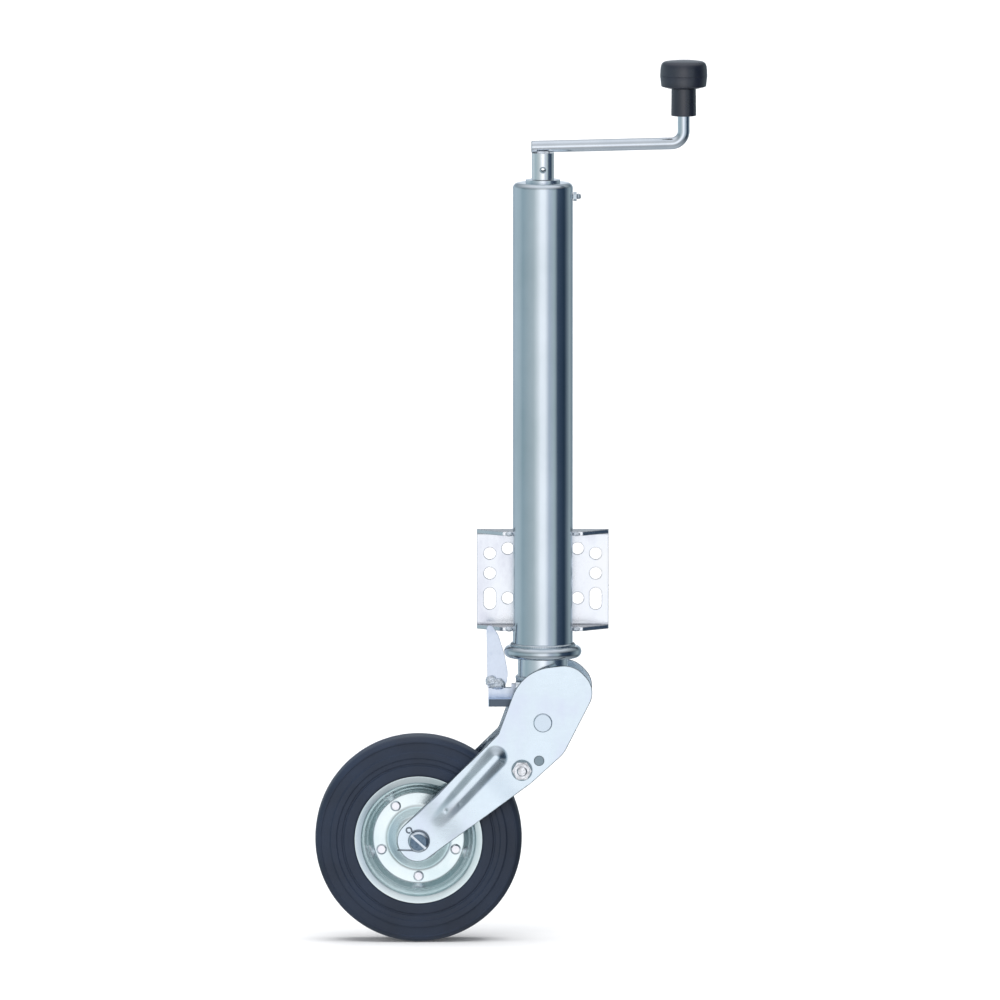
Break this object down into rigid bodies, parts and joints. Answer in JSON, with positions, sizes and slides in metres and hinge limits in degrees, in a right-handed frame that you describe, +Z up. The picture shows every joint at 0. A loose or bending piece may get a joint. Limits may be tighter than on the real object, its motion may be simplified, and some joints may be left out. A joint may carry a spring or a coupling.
{
  "type": "jockey wheel",
  "caption": "Telescopic trailer jockey wheel: a crank and screw raise the tube, and the wheel's pressed fork folds up under a bolt-on plate.",
  "frame": {"origin": "centre of the mounting plate's back face, which bolts to the drawbar", "axes": "+Z up along the telescopic column towards the crank, +Y into the drawbar, +X the side the crank handle reaches to"},
  "size_m": [0.3921, 0.0903, 0.8841],
  "materials": {
    "column_zinc": "bright zinc plate on drawn tube",
    "stem_zinc": "bright zinc plate",
    "plate_zinc": "bright zinc plate on pressed sheet",
    "fork_zinc": "bright zinc plate on pressed sheet",
    "latch_zinc": "bright zinc plate on cut and welded sheet",
    "rim_zinc": "bright zinc plate with a green tint",
    "crank_zinc": "bright zinc plate on round rod",
    "fastener_steel": "turned and zinc plated",
    "spring_steel": "drawn wire",
    "bearing_steel": "ground and greased",
    "screw_steel": "rolled thread, greased",
    "nut_brass": "machined",
    "bush_plastic": "moulded",
    "knob_plastic": "fine moulded grain",
    "tyre_rubber": "moulded solid rubber"
  },
  "bodies": {
    "column": {"outer_tube": "column_zinc", "collar_ring": "column_zinc", "collar_weld": "column_zinc", "guide_bush": "bush_plastic", "grease_nipple": "fastener_steel", "mounting_plate": "plate_zinc", "plate_welds": "plate_zinc", "upper_race": "bearing_steel", "bearing_balls": "bearing_steel", "top_washer": "crank_zinc"},
    "crank": {"lower_race": "bearing_steel", "screw": "screw_steel", "stop_collar": "screw_steel", "crank_sleeve": "crank_zinc", "roll_pin": "fastener_steel", "crank_arm": "crank_zinc", "crank_welds": "crank_zinc", "knob_clip": "fastener_steel"},
    "knob": {"knob_neck": "knob_plastic", "knob_cap": "knob_plastic"},
    "stem": {"inner_tube": "stem_zinc", "screw_nut": "nut_brass", "slide_ring": "stem_zinc", "foot_weld": "stem_zinc", "foot_bracket": "stem_zinc", "pivot_rivet": "fastener_steel", "pivot_spacer": "fastener_steel", "pivot_washer_near": "fastener_steel", "pivot_washer_far": "fastener_steel"},
    "fork": {"fork_cheek_near": "fork_zinc", "fork_cheek_far": "fork_zinc", "stop_pin": "fastener_steel", "latch_bolt": "fastener_steel", "latch_nut": "fastener_steel", "latch_washer": "fastener_steel", "latch_spacer": "fastener_steel", "axle": "fastener_steel", "axle_clip_near": "spring_steel", "axle_clip_far": "spring_steel"},
    "latch": {"latch_strut": "latch_zinc", "latch_block_near": "latch_zinc", "latch_block_far": "latch_zinc", "release_fin": "latch_zinc", "fin_welds": "latch_zinc", "latch_spring": "spring_steel"},
    "wheel": {"tyre": "tyre_rubber", "rim_half_near": "rim_zinc", "rim_half_far": "rim_zinc", "rim_rivets": "rim_zinc", "hub_tube": "rim_zinc", "hub_bush_near": "bush_plastic", "hub_bush_far": "bush_plastic"}
  },
  "joints": [
    {"name": "crank_spin", "type": "hinge", "parent": "column", "child": "crank", "pos_m": [0, -0.034, 0.4], "axis": [0, 0, 1], "range_deg": [-18000, 0]},
    {"name": "knob_spin", "type": "hinge", "parent": "crank", "child": "knob", "pos_m": [0.1405, -0.034, 0.49], "axis": [0, 0, 1], "continuous": true},
    {"name": "tube_slide", "type": "slide", "parent": "column", "child": "stem", "axis": [0, 0, 1], "range_m": [-0.2, 0]},
    {"name": "fork_fold", "type": "hinge", "parent": "stem", "child": "fork", "pos_m": [0, -0.034, -0.1386], "axis": [0, 1, 0], "range_deg": [0, 45]},
    {"name": "latch_swing", "type": "hinge", "parent": "fork", "child": "latch", "pos_m": [-0.02089, -0.034, -0.18622], "axis": [0, 1, 0], "range_deg": [-36, 0], "deforming": ["latch_spring"]},
    {"name": "wheel_spin", "type": "hinge", "parent": "fork", "child": "wheel", "pos_m": [-0.12435, -0.034, -0.25743], "axis": [0, 1, 0], "continuous": true}
  ],
  "couplings": [
    {"joint": "tube_slide", "follows": "crank_spin", "m_per_rad": 0.00063662},
    {"joint": "latch_swing", "follows": "fork_fold", "ratio": -0.8}
  ]
}
